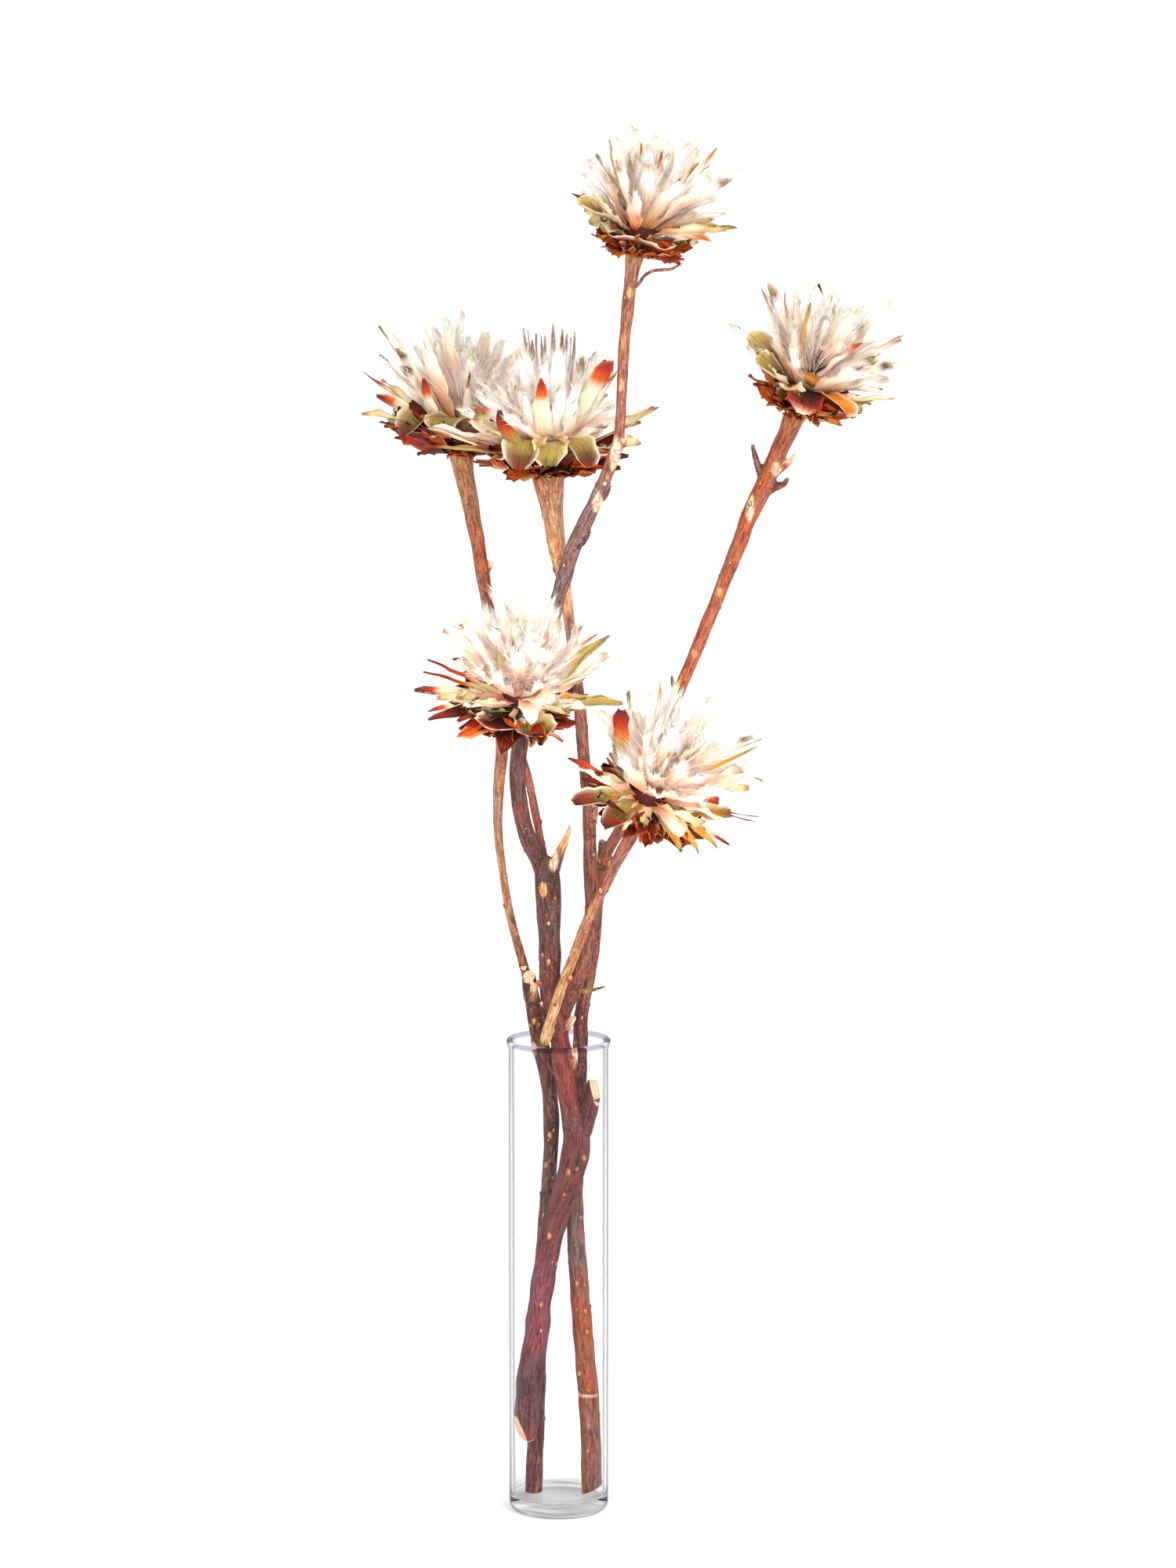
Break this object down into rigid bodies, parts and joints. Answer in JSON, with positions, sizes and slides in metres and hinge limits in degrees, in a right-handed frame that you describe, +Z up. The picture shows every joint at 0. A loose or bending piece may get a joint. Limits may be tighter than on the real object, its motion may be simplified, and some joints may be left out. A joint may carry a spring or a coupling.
{
  "type": "dried protea stems in glass vase",
  "caption": "Dried, opened protea heads with layered papery bracts on forked woody branches, standing in a tall clear glass cylinder vase.",
  "frame": {"origin": "centre of the vase's flat underside", "axes": "+Z up along the vase's axis, -Y towards the front of the arrangement, +X to its right"},
  "size_m": [0.2921, 0.2402, 0.7237],
  "materials": {
    "clear_glass": "clear, smooth, fire-polished lip",
    "bark_maroon": "dry maroon to grey-brown bark, pale where cut or scarred",
    "bark_brown": "dry brown to tan bark with pale breathing pores",
    "bark_orange": "dry orange-brown bark with pale leaf scars",
    "dry_scale": "matte, papery, red-brown",
    "dry_bract": "matte, papery, olive to cream with red-brown tips",
    "silky_bract": "soft sheen of fine white hairs",
    "blush_plume": "soft, downy, cream to blush"
  },
  "bodies": {
    "root": {"vase": "clear_glass", "branch_front": "bark_maroon", "branch_left": "bark_brown", "branch_right": "bark_orange", "bloom_top_scales": "dry_scale", "bloom_top_bracts": "dry_bract", "bloom_top_silk": "silky_bract", "bloom_top_plume": "blush_plume", "bloom_right_scales": "dry_scale", "bloom_right_bracts": "dry_bract", "bloom_right_silk": "silky_bract", "bloom_right_plume": "blush_plume", "bloom_far_left_scales": "dry_scale", "bloom_far_left_bracts": "dry_bract", "bloom_far_left_silk": "silky_bract", "bloom_far_left_plume": "blush_plume", "bloom_centre_scales": "dry_scale", "bloom_centre_bracts": "dry_bract", "bloom_centre_silk": "silky_bract", "bloom_centre_plume": "blush_plume", "bloom_lower_left_scales": "dry_scale", "bloom_lower_left_bracts": "dry_bract", "bloom_lower_left_silk": "silky_bract", "bloom_lower_left_plume": "blush_plume", "bloom_lower_right_scales": "dry_scale", "bloom_lower_right_bracts": "dry_bract", "bloom_lower_right_silk": "silky_bract", "bloom_lower_right_plume": "blush_plume"}
  },
  "joints": []
}
